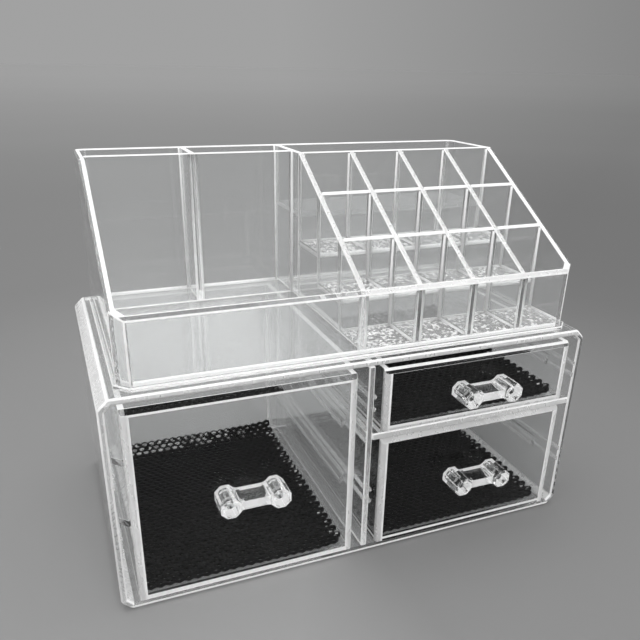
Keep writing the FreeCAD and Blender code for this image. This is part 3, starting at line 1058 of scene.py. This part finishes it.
@dataclass
class NetLiner:
    """A loose black net on a drawer's floor, cut with a zigzag edge."""

    node: str
    body: str
    columns: int = 22
    rows: int = 44
    thickness: float = 0.0017
    hole_width: float = 0.0025
    hole_length: float = 0.0010
    shoulder_share: float = 0.55
    ring_shares: tuple[float, ...] = (1.0, 0.93, 0.62, 0.30, 0.04, 0.0)
    ripple: float = 0.00022
    ripple_waves: tuple[float, float] = (95.0, 74.0)
    ripple_starts: tuple[float, float] = (1.3, 0.4)
    slanting_waves: tuple[float, float] = (60.0, 150.0)
    lift: float = 0.00005
    curl_back: float = 0.0046
    curl_right: float = 0.0015
    curl_reach: float = 0.016
    glint_back: float = 0.0080
    glint_back_share: float = 0.5
    glint_back_fade: float = 0.9
    glint_right: float = 0.0045
    glint_right_share: float = 0.3
    glint_reach: float = 1.5
    seed: int = 5
    width: float = field(init=False)
    length: float = field(init=False)
    pitch: float = field(init=False)
    reach: float = field(init=False)
    row_pitch: float = field(init=False)

    def build(self, finishes: Finishes) -> bpy.types.Object:
        """Weaves the net where its CAD node lies.

        Args:
            finishes: the materials.

        Returns:
            The net.
        """
        low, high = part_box(self.node)
        self.width, self.length = high.x - low.x, high.y - low.y
        self.pitch = self.width / (self.columns + 0.5)
        self.reach = self.length / (1.5 * (self.rows - 1) + 2.0)
        self.row_pitch = 1.5 * self.reach
        cell = self.cell()
        name = self.node + "_woven"
        net = bpy.data.objects.new(name, bpy.data.meshes.new(name))
        bpy.context.scene.collection.objects.link(net)
        self.weave(net, cell, finishes.net)
        bpy.data.objects.remove(cell)
        self.close_rim(net.data)
        net.data.materials.append(finishes.glint)
        self.add_glints(net.data)
        self.lay(net.data, Vector(((low.x + high.x) / 2, (low.y + high.y) / 2, low.z + self.lift)))
        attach(net, self.body)
        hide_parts(self.node)
        LOG.info("%s: %d faces", name, len(net.data.polygons))
        return net

    def cell(self) -> bpy.types.Object:
        """Makes one six-sided cell with a rounded strand round an oval hole.

        Returns:
            The cell's object.
        """
        half = self.pitch / 2
        corners = [(0, 1), (-1, 0.5), (-1, -0.5), (0, -1), (1, -0.5), (1, 0.5)]
        outer = [(x * half, y * self.reach) for x, y in corners]
        turns = [math.atan2(y, x) for x, y in outer]
        hole = [(math.cos(t) * self.hole_width / 2, math.sin(t) * self.hole_length / 2) for t in turns]
        near, far = self.shoulder_share, 1.0 - self.shoulder_share
        shoulder = [(near * a + far * c, near * b + far * d) for (a, b), (c, d) in zip(hole, outer)]
        rings = zip((outer, shoulder, hole, hole, shoulder, outer), self.ring_shares)
        shape = bmesh.new()
        loops = [[shape.verts.new((x, y, self.thickness * share)) for x, y in ring] for ring, share in rings]
        for upper, lower in zip(loops, loops[1:]):
            for place in range(len(upper)):
                after = (place + 1) % len(upper)
                face = shape.faces.new((upper[place], upper[after], lower[after], lower[place]))
                face.smooth = True
        mesh = bpy.data.meshes.new("net_cell")
        shape.to_mesh(mesh)
        shape.free()
        cell = bpy.data.objects.new("net_cell", mesh)
        bpy.context.scene.collection.objects.link(cell)
        return cell

    def weave(self, net: bpy.types.Object, cell: bpy.types.Object, material: bpy.types.Material) -> None:
        """Repeats the cell in staggered rows with Geometry Nodes and keeps the plain mesh.

        Args:
            net: the object that takes the mesh.
            cell: the cell's object.
            material: the net's material.
        """
        tree = bpy.data.node_groups.new("staggered_net", "GeometryNodeTree")
        kinds = (
            ("Cell", "NodeSocketObject"),
            ("Columns", "NodeSocketInt"),
            ("Rows", "NodeSocketInt"),
            ("Pitch", "NodeSocketFloat"),
            ("Row Pitch", "NodeSocketFloat"),
            ("Finish", "NodeSocketMaterial"),
        )
        interface = tree.interface
        sockets = {name: interface.new_socket(name, in_out="INPUT", socket_type=kind) for name, kind in kinds}
        interface.new_socket("Net", in_out="OUTPUT", socket_type="NodeSocketGeometry")
        nodes, links = tree.nodes, tree.links
        given = nodes.new("NodeGroupInput").outputs

        def math_node(operation: str, first: object, second: object) -> Socket:
            """Adds a Math node.

            Args:
                operation: what it does.
                first: a socket or a number.
                second: a socket or a number.

            Returns:
                The result's socket.
            """
            node = nodes.new("ShaderNodeMath")
            node.operation = operation
            for place, value in enumerate((first, second)):
                if isinstance(value, (int, float)):
                    node.inputs[place].default_value = value
                else:
                    links.new(value, node.inputs[place])
            return node.outputs["Value"]

        grid = nodes.new("GeometryNodeMeshGrid")
        links.new(given["Columns"], grid.inputs["Vertices X"])
        links.new(given["Rows"], grid.inputs["Vertices Y"])
        span_x = math_node("MULTIPLY", math_node("SUBTRACT", given["Columns"], 1), given["Pitch"])
        span_y = math_node("MULTIPLY", math_node("SUBTRACT", given["Rows"], 1), given["Row Pitch"])
        links.new(span_x, grid.inputs["Size X"])
        links.new(span_y, grid.inputs["Size Y"])
        split = nodes.new("ShaderNodeSeparateXYZ")
        links.new(nodes.new("GeometryNodeInputPosition").outputs["Position"], split.inputs["Vector"])
        from_edge = math_node("ADD", split.outputs["Y"], math_node("MULTIPLY", span_y, 0.5))
        row = math_node("ROUND", math_node("DIVIDE", from_edge, given["Row Pitch"]), 0)
        side = math_node("SUBTRACT", math_node("MODULO", row, 2), 0.5)
        aside = math_node("MULTIPLY", math_node("MULTIPLY", side, 0.5), given["Pitch"])
        stagger = nodes.new("ShaderNodeCombineXYZ")
        links.new(aside, stagger.inputs["X"])
        shifted = nodes.new("GeometryNodeSetPosition")
        links.new(grid.outputs["Mesh"], shifted.inputs["Geometry"])
        links.new(stagger.outputs["Vector"], shifted.inputs["Offset"])
        shape = nodes.new("GeometryNodeObjectInfo")
        links.new(given["Cell"], shape.inputs["Object"])
        copies = nodes.new("GeometryNodeInstanceOnPoints")
        links.new(shifted.outputs["Geometry"], copies.inputs["Points"])
        links.new(shape.outputs["Geometry"], copies.inputs["Instance"])
        plain = nodes.new("GeometryNodeRealizeInstances")
        links.new(copies.outputs["Instances"], plain.inputs["Geometry"])
        finish = nodes.new("GeometryNodeSetMaterial")
        links.new(plain.outputs["Geometry"], finish.inputs["Geometry"])
        links.new(given["Finish"], finish.inputs["Material"])
        links.new(finish.outputs["Geometry"], nodes.new("NodeGroupOutput").inputs["Net"])

        modifier = net.modifiers.new("weave", "NODES")
        modifier.node_group = tree
        values = (
            ("Cell", cell),
            ("Columns", self.columns),
            ("Rows", self.rows),
            ("Pitch", self.pitch),
            ("Row Pitch", self.row_pitch),
            ("Finish", material),
        )
        for name, value in values:
            modifier[sockets[name].identifier] = value
        bpy.context.view_layer.update()
        seen = net.evaluated_get(bpy.context.evaluated_depsgraph_get())
        mesh = bpy.data.meshes.new_from_object(seen)
        net.modifiers.remove(modifier)
        empty = net.data
        net.data = mesh
        mesh.name = net.name
        bpy.data.meshes.remove(empty)
        bpy.data.node_groups.remove(tree)

    def close_rim(self, mesh: bpy.types.Mesh) -> None:
        """Welds the cells and closes the net's cut edge.

        Args:
            mesh: the net.
        """

        def spot(vert: bmesh.types.BMVert) -> tuple[float, float]:
            """Returns a point's place in plan, rounded so that a top and its bottom match."""
            return round(vert.co.x, 5), round(vert.co.y, 5)

        shape = bmesh.new()
        shape.from_mesh(mesh)
        bmesh.ops.remove_doubles(shape, verts=shape.verts, dist=WELD)
        inside = [edge for edge in shape.edges if len(edge.link_faces) > 2]
        if inside:
            LOG.warning("net has %d edges with more than two faces", len(inside))
        half = self.thickness / 2
        bottoms = {spot(vert): vert for vert in shape.verts if vert.is_boundary and vert.co.z < half}
        rim = [edge for edge in shape.edges if edge.is_boundary and edge.verts[0].co.z > half]
        for edge in rim:
            ring = edge.link_loops[0]
            start, end = ring.link_loop_next.vert, ring.vert
            face = shape.faces.new((start, end, bottoms[spot(end)], bottoms[spot(start)]))
            face.material_index = ring.face.material_index
            face.smooth = True
        bmesh.ops.recalc_face_normals(shape, faces=shape.faces)
        shape.to_mesh(mesh)
        shape.free()

    def add_glints(self, mesh: bpy.types.Mesh) -> None:
        """Paints lighter grey painted glints on the insides of the holes along the raised back and right
        edges.

        Args:
            mesh: the net.
        """
        last_column, last_row = self.columns - 1, self.rows - 1
        chance = random.Random(self.seed)
        for face in mesh.polygons:
            x, y = face.center.x, face.center.y
            row = round(y / self.row_pitch + last_row / 2)
            stagger = (row % 2 - 0.5) * self.pitch / 2
            column = round((x - stagger) / self.pitch + last_column / 2)
            dx = x - stagger + self.pitch * (last_column / 2 - column)
            dy = y + self.row_pitch * (last_row / 2 - row)
            from_middle = math.hypot(dx / self.hole_width, dy / self.hole_length) * 2
            likely = 0.0
            if y > self.length / 2 - self.glint_back:
                likely = self.glint_back_share - self.glint_back_fade * x / self.width
            elif x > self.width / 2 - self.glint_right:
                likely = self.glint_right_share
            in_hole = from_middle < self.glint_reach and face.normal.y < -LEANING
            if in_hole and chance.random() < likely:
                face.material_index = len(mesh.materials) - 1

    def lay(self, mesh: bpy.types.Mesh, place: Vector) -> None:
        """Moves the net onto the drawer's floor with a slight ripple.

        Args:
            mesh: the net.
            place: the middle of the floor.
        """
        for vert in mesh.vertices:
            x, y = vert.co.x, vert.co.y
            turns = zip(self.ripple_waves, (x, y), self.ripple_starts)
            broad = math.prod(math.sin(wave * place + start) for wave, place, start in turns)
            slanting = math.sin(self.slanting_waves[0] * x + self.slanting_waves[1] * y)
            # The waves add up to between -1.5 and 1.5.
            vert.co.z += self.ripple * (broad + 0.5 * slanting + 1.5) / 3.0
            from_back = max(0.0, 1.0 - (self.length / 2 - y) / self.curl_reach)
            from_right = max(0.0, 1.0 - (self.width / 2 - x) / self.curl_reach)
            vert.co.z += self.curl_back * from_back**2 + self.curl_right * from_right**2
            vert.co += place
        mesh.update()


@dataclass
class Cabinet:
    """The clear cabinet that the drawers slide in."""

    body: str = "cabinet"
    walls: tuple[str, ...] = ("cabinet_back", "centre_partition")
    guides: tuple[str, ...] = ("left_bay_guides", "right_bay_guides")
    wall_corner: float = 0.0006

    def build(self, finishes: Finishes) -> list[bpy.types.Object]:
        """Builds and dresses the cabinet.

        Args:
            finishes: the materials.

        Returns:
            Its pieces.
        """
        parts: list[ClearPart] = [Shell("cabinet_shell", self.body)]
        parts += [Wall(node, self.body, corner=self.wall_corner) for node in self.walls]
        parts.append(Floor("drawer_shelf", self.body, side=Skin.SATIN, left_end=Skin.SATIN))
        parts += [ClearPart(node, self.body, broad=Skin.VEILED, corner=0.0) for node in self.guides]
        return [part.build(finishes) for part in parts]


@dataclass
class Drawer:
    """One drawer: its tub, its handle on two pegs and its net."""

    body: str
    brow: Brow = Brow.LINE_BELOW
    foot_line: float = 0.0014
    foot_band: bool = False

    def build(self, finishes: Finishes) -> list[bpy.types.Object]:
        """Builds and dresses the drawer.

        Args:
            finishes: the materials.

        Returns:
            Its pieces.
        """
        borders = {"brow": self.brow, "foot_line": self.foot_line, "foot_band": self.foot_band}
        parts = [
            Tub(self.body + "_tub", self.body, **borders),
            Handle(self.body + "_handle", self.body),
            ClearPart(self.body + "_handle_pegs", self.body, broad=Skin.CLEAR, corner=0.0),
        ]
        pieces = [part.build(finishes) for part in parts]
        pieces.append(NetLiner(self.body + "_net_liner", self.body).build(finishes))
        return pieces


@dataclass
class Fillet:
    """A hollow moulded fillet: the ends of its corner line and the two ways it spreads from there."""

    start: Vector
    end: Vector
    first: Vector
    second: Vector


@dataclass
class CornerFillets:
    """The fillets in the corners of the tray's rack and pockets, their hollow faces painted bright as painted
    light.
    """

    body: str
    leg: float = 0.0009
    air: float = 0.00004
    headroom: float = 0.0004
    steps: int = 3
    slope_drop: float = 0.0200
    back_corner: float = 0.0032

    @property
    def spare(self) -> float:
        """Returns the room that a fillet leaves for the one across its end."""
        return self.leg + 3 * self.air

    def build(self, finishes: Finishes) -> bpy.types.Object:
        """Makes all the fillets as one piece.

        Args:
            finishes: the materials.

        Returns:
            The piece.
        """
        shape = bmesh.new()
        for fillet in self.rack_fillets() + self.pocket_fillets() + self.floor_fillets():
            self.sweep(shape, fillet)
        bmesh.ops.recalc_face_normals(shape, faces=shape.faces)
        name = self.body + "_corner_fillets"
        mesh = bpy.data.meshes.new(name)
        shape.to_mesh(mesh)
        shape.free()
        mesh.materials.append(finishes.hazy)
        mesh.materials.append(finishes.rim)
        piece = bpy.data.objects.new(name, mesh)
        bpy.context.scene.collection.objects.link(piece)
        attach(piece, self.body)
        LOG.info("%s: %d faces", name, len(mesh.polygons))
        return piece

    def upright(self, x: float, y: float, side: int, facing: int, bottom: float, top: float) -> Fillet:
        """Describes a fillet in an upright corner.

        Args:
            x: the corner's place across.
            y: its place along.
            side: 1 or -1, the way it spreads across.
            facing: 1 or -1, the way it spreads along.
            bottom: the floor's height.
            top: its own upper end.

        Returns:
            The fillet.
        """
        start, end = Vector((x, y, bottom + self.air)), Vector((x, y, top))
        return Fillet(start, end, X_AXIS * side, Y_AXIS * facing)

    def rack_fillets(self) -> list[Fillet]:
        """Lists the corners between the rack's columns, rows and floors.

        Returns:
            An upright fillet on each side of every wall that a column's wall meets, and one at the foot of
            each column's wall in every cell.
        """
        first, second = (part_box(node)[1] for node in RACK_ROWS)
        rise = (second.z - first.z) / (second.y - first.y)
        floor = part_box("tray_floor")[1].z
        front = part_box(RACK_COLUMNS[0])[0].y
        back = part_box("rack_back_wall")[0]

        def under_slope(y: float) -> float:
            """Returns the height just under the sloping tops at y."""
            return first.z + rise * (y - first.y) - self.headroom

        faces = [(front, 1, floor, under_slope(front)), (back.y, -1, back.z, under_slope(back.y - self.leg))]
        starts, stops = [(front, floor)], []
        for row, step in zip(RACK_ROWS, RACK_STEPS):
            low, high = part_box(row)
            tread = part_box(step)[1].z
            faces.append((low.y, -1, low.z, under_slope(low.y - self.leg)))
            faces.append((high.y, 1, tread, under_slope(high.y)))
            starts.append((high.y, tread))
            stops.append(low.y)
        stops.append(back.y)
        side_low, side_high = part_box("rack_side_wall")
        sides = [(side_high.x, 1), (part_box(RACK_ROWS[0])[1].x, -1)]
        for node in RACK_COLUMNS:
            low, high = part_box(node)
            sides += [(low.x, -1), (high.x, 1)]
        fillets = []
        for x, side in sides:
            fillets += [self.upright(x, y, side, facing, bottom, top) for y, facing, bottom, top in faces]
        fillets.append(self.upright(side_low.x, front, -1, 1, floor, under_slope(front)))
        for (start, height), stop in zip(starts, stops):
            for x, side in sides:
                ends = (Vector((x, y, height)) for y in (start + self.spare, stop - self.spare))
                fillets.append(Fillet(*ends, X_AXIS * side, Z_AXIS))
        return fillets

    def pocket_fillets(self) -> list[Fillet]:
        """Lists the upright corners of the rear pockets.

        Returns:
            The fillets.
        """
        wall_low, wall_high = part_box("rear_pocket_wall")
        left_low, left_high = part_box("rear_divider_left")
        right_low, right_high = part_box("rear_divider_right")
        rack_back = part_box("rack_back_wall")[1].y
        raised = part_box("raised_rear_floor")[1].z
        floor, top = wall_low.z, wall_high.z - self.headroom
        under_slope = top - self.slope_drop
        corners = [
            (left_low.x, wall_high.y, -1, 1, floor, top),
            (left_high.x, wall_high.y, 1, 1, floor, top),
            (right_low.x, wall_high.y, -1, 1, floor, top),
            (wall_low.x, wall_high.y, 1, 1, floor, top),
            (right_low.x, wall_low.y, -1, -1, floor, top),
            (wall_low.x, wall_low.y, 1, -1, floor, under_slope),
            (left_low.x, left_high.y, -1, -1, floor, top),
            (left_high.x, left_high.y, 1, -1, floor, top),
            (right_low.x, left_high.y, -1, -1, floor, top),
            (right_high.x, rack_back, 1, 1, raised, top),
            (right_high.x, right_high.y, 1, -1, raised, top),
        ]
        return [self.upright(*corner) for corner in corners]

    def floor_fillets(self) -> list[Fillet]:
        """Lists the corners between the pockets' floors and the back wall.

        Returns:
            The fillets, short of the upright ones at both ends.
        """
        wall_low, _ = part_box("rear_pocket_wall")
        left_low, left_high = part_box("rear_divider_left")
        right_low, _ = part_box("rear_divider_right")
        left_span = (wall_low.x + self.back_corner, left_low.x - self.spare)
        middle_span = (left_high.x + self.spare, right_low.x - self.spare)
        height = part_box("tray_floor")[1].z
        fillets = []
        for span in (left_span, middle_span):
            ends = (Vector((x, left_high.y, height)) for x in span)
            fillets.append(Fillet(*ends, -Y_AXIS, Z_AXIS))
        return fillets

    def sweep(self, shape: bmesh.types.BMesh, fillet: Fillet) -> None:
        """Adds one fillet: its hollow section drawn along its corner line.

        Args:
            shape: the mesh that takes it.
            fillet: its place.
        """
        turns = [math.pi / 2 * step / self.steps for step in range(self.steps + 1)]
        hollow = [(1.0 - math.sin(turn), 1.0 - math.cos(turn)) for turn in turns]
        section = []
        for across, along in [(0.0, 0.0), *hollow]:
            first, second = self.air + self.leg * across, self.air + self.leg * along
            section.append(fillet.first * first + fillet.second * second)
        low, high = ([shape.verts.new(end + way) for way in section] for end in (fillet.start, fillet.end))
        shape.faces.new(low)
        shape.faces.new(high)
        for place in range(len(section)):
            after = (place + 1) % len(section)
            face = shape.faces.new((low[place], low[after], high[after], high[place]))
            # The hollow faces take the rim finish, painted light.
            if 0 < place < len(section) - 1:
                face.material_index = 1
                face.smooth = True


@dataclass
class Tray:
    """The lift-off tray with its pockets and stepped rack."""

    body: str = "tray"
    walls: tuple[str, ...] = (
        "rear_pocket_wall",
        "rack_back_wall",
        "rear_divider_left",
        "rear_divider_right",
        "rack_side_wall",
        *RACK_COLUMNS,
        *RACK_ROWS,
    )
    bright_left_ends: tuple[str, ...] = ("rack_back_wall", *RACK_ROWS)
    half_lit_tops: tuple[str, ...] = ("rack_side_wall", *RACK_COLUMNS)
    floors: tuple[str, ...] = ("tray_floor", *RACK_STEPS)

    def build(self, finishes: Finishes) -> list[bpy.types.Object]:
        """Builds and dresses the tray.

        Args:
            finishes: the materials.

        Returns:
            Its pieces.
        """
        rack_left = sum(corner.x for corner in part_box("rack_side_wall")) / 2
        parts: list[ClearPart] = [TrayWall("tray_outer_wall", self.body, rack_left=rack_left)]
        for node in self.walls:
            # Wall tops are painted light: half-bright on the rack's side wall and columns, bright on the
            # others.
            top = Skin.SATIN if node in self.half_lit_tops else Skin.RIM
            left_end = Skin.RIM if node in self.bright_left_ends else Skin.CLEAR
            # The rack columns' front ends take a dark painted reflection of the net.
            front_end = Skin.SMOKY if node in RACK_COLUMNS else Skin.CLEAR
            parts.append(Wall(node, self.body, top=top, left_end=left_end, front_end=front_end))
        parts += [Floor(node, self.body, grained_from=rack_left) for node in self.floors]
        parts.append(Floor("raised_rear_floor", self.body, side=Skin.HAZY, corner=0.0))
        pieces = [part.build(finishes) for part in parts]
        pieces.append(CornerFillets(self.body).build(finishes))
        return pieces


@dataclass(frozen=True)
class Lamp:
    """A soft rectangular lamp: its place, its width and height in metres and its power in watts."""

    name: str
    place: tuple[float, float, float]
    width: float
    height: float
    power: float


@dataclass
class Studio:
    """Seamless paper, soft lamps and the camera."""

    lamp_rows: tuple[Lamp, ...] = (
        Lamp("over_lamp", (-0.10, 0.10, 1.35), width=1.1, height=1.1, power=9.0),
        Lamp("front_lamp", (-0.05, -1.5, 1.1), width=1.2, height=0.9, power=13.0),
    )
    lamp_aim: tuple[float, float, float] = (0.0, 0.0, 0.08)

    floor_height: float = -0.0004
    floor_radius: float = 40.0
    floor_sides: int = 96
    room_light: float = 0.66
    horizon: float = 0.36
    eye: tuple[float, float, float] = (-0.12672, -0.31528, 0.22752)
    right: tuple[float, float, float] = (0.92900, -0.36969, 0.01718)
    down: tuple[float, float, float] = (-0.13599, -0.38417, -0.91319)
    ahead: tuple[float, float, float] = (0.34420, 0.84602, -0.40716)
    focal_pixels: float = 674.08
    picture_pixels: float = 640.0
    middle_row: float = 364.84
    sensor: float = 36.0
    nearest: float = 0.01
    bounces: int = 40
    transmission_bounces: int = 36
    glossy_bounces: int = 16
    transparent_bounces: int = 96

    def build(self, finishes: Finishes) -> None:
        """Sets up the paper, the light and the camera.

        Args:
            finishes: the materials.
        """
        self.paper(finishes.paper)
        self.lamps()
        self.sky()
        self.camera()
        scene = bpy.context.scene
        scene.view_settings.view_transform = "Standard"
        scene.cycles.max_bounces = self.bounces
        scene.cycles.transmission_bounces = self.transmission_bounces
        scene.cycles.glossy_bounces = self.glossy_bounces
        scene.cycles.transparent_max_bounces = self.transparent_bounces

    def paper(self, material: bpy.types.Material) -> None:
        """Lays the wide grey floor.

        Args:
            material: the floor's finish.
        """
        shape = bmesh.new()
        bmesh.ops.create_circle(shape, cap_ends=True, segments=self.floor_sides, radius=self.floor_radius)
        for vert in shape.verts:
            vert.co.z = self.floor_height
        mesh = bpy.data.meshes.new("floor")
        shape.to_mesh(mesh)
        shape.free()
        mesh.materials.append(material)
        floor = bpy.data.objects.new("floor", mesh)
        bpy.context.scene.collection.objects.link(floor)

    def lamps(self) -> None:
        """Hangs the soft lamps."""
        for lamp in self.lamp_rows:
            light = bpy.data.lights.new(lamp.name, "AREA")
            light.shape = "RECTANGLE"
            light.size, light.size_y, light.energy = lamp.width, lamp.height, lamp.power
            holder = bpy.data.objects.new(lamp.name, light)
            holder.location = lamp.place
            ahead = Vector(self.lamp_aim) - Vector(lamp.place)
            holder.rotation_euler = ahead.to_track_quat("-Z", "Y").to_euler()
            bpy.context.scene.collection.objects.link(holder)

    def sky(self) -> None:
        """Gives the room its soft light, and where the room itself is seen, the floor's far tone with painted
        shade, dimmer on the side away from the lamp.
        """
        world = bpy.data.worlds.new("room")
        world.use_nodes = True
        tree = world.node_tree
        tree.nodes.clear()

        def node(kind: str, **values: object) -> bpy.types.Node:
            """Adds a node to the room's tree.

            Args:
                kind: the node's Blender type.
                values: properties of the node by name.

            Returns:
                The node.
            """
            made = tree.nodes.new(kind)
            for name, value in values.items():
                setattr(made, name, value)
            return made

        light = node("ShaderNodeBackground")
        light.inputs["Color"].default_value = (1.0, 1.0, 1.0, 1.0)
        light.inputs["Strength"].default_value = self.room_light
        turn = node("ShaderNodeMapping")
        grey = StudioGrey()
        turn.inputs["Rotation"].default_value = (0.0, 0.0, grey.lamp_turn)
        tree.links.new(node("ShaderNodeTexCoord").outputs["Generated"], turn.inputs["Vector"])
        parts = node("ShaderNodeSeparateXYZ")
        tree.links.new(turn.outputs["Vector"], parts.inputs["Vector"])
        # Painted shade: the seen room dims away from the lamp as the floor does.
        side = node("ShaderNodeMapRange")
        limits = (grey.dims_from, grey.dims_to, self.horizon, self.horizon * grey.far_dim)
        for name, number in zip(("From Min", "From Max", "To Min", "To Max"), limits):
            side.inputs[name].default_value = number
        tree.links.new(parts.outputs["X"], side.inputs["Value"])
        seen = node("ShaderNodeBackground")
        seen.inputs["Color"].default_value = (1.0, 1.0, 1.0, 1.0)
        tree.links.new(side.outputs["Result"], seen.inputs["Strength"])
        path = node("ShaderNodeLightPath")
        looked_at = path.outputs["Is Camera Ray"]
        for name in ("Is Glossy Ray", "Is Transmission Ray"):
            either = node("ShaderNodeMath", operation="MAXIMUM")
            tree.links.new(looked_at, either.inputs[0])
            tree.links.new(path.outputs[name], either.inputs[1])
            looked_at = either.outputs["Value"]
        mix = node("ShaderNodeMixShader")
        tree.links.new(looked_at, mix.inputs["Fac"])
        tree.links.new(light.outputs["Background"], mix.inputs[1])
        tree.links.new(seen.outputs["Background"], mix.inputs[2])
        tree.links.new(mix.outputs["Shader"], node("ShaderNodeOutputWorld").inputs["Surface"])
        bpy.context.scene.world = world

    def camera(self) -> None:
        """Puts the camera where the photograph was taken."""
        lens = bpy.data.cameras.new("camera")
        lens.sensor_width = self.sensor
        lens.sensor_fit = "HORIZONTAL"
        lens.lens = self.focal_pixels * self.sensor / self.picture_pixels
        lens.shift_y = (self.middle_row - self.picture_pixels / 2) / self.picture_pixels
        lens.clip_start = self.nearest
        holder = bpy.data.objects.new("camera", lens)
        columns = (Vector(self.right), -Vector(self.down), -Vector(self.ahead))
        turn = Matrix(columns).transposed().to_4x4()
        holder.matrix_world = Matrix.Translation(self.eye) @ turn
        bpy.context.scene.collection.objects.link(holder)
        bpy.context.scene.camera = holder


def plain(box: tuple[Vector, Vector]) -> list[list[float]]:
    """Turns a box into plain lists of numbers.

    Args:
        box: a pair of corners.

    Returns:
        The corners as lists.
    """
    return [[float(number) for number in corner] for corner in box]


def main() -> None:
    """Builds the organizer's looks in order."""
    logging.basicConfig(level=logging.INFO, format="%(name)s: %(message)s")
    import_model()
    finishes = Finishes()
    drawers = [
        Drawer("left_drawer", foot_line=0.0024),
        Drawer("upper_drawer", brow=Brow.LINE_ABOVE, foot_band=True),
        Drawer("lower_drawer", brow=Brow.BAND),
    ]
    assemblies = [Cabinet(), *drawers, Tray()]
    for assembly in assemblies:
        pieces = assembly.build(finishes)
        LOG.info("%s: %d pieces", assembly.body, len(pieces))
    Studio().build(finishes)


if __name__ == "__main__":
    main()
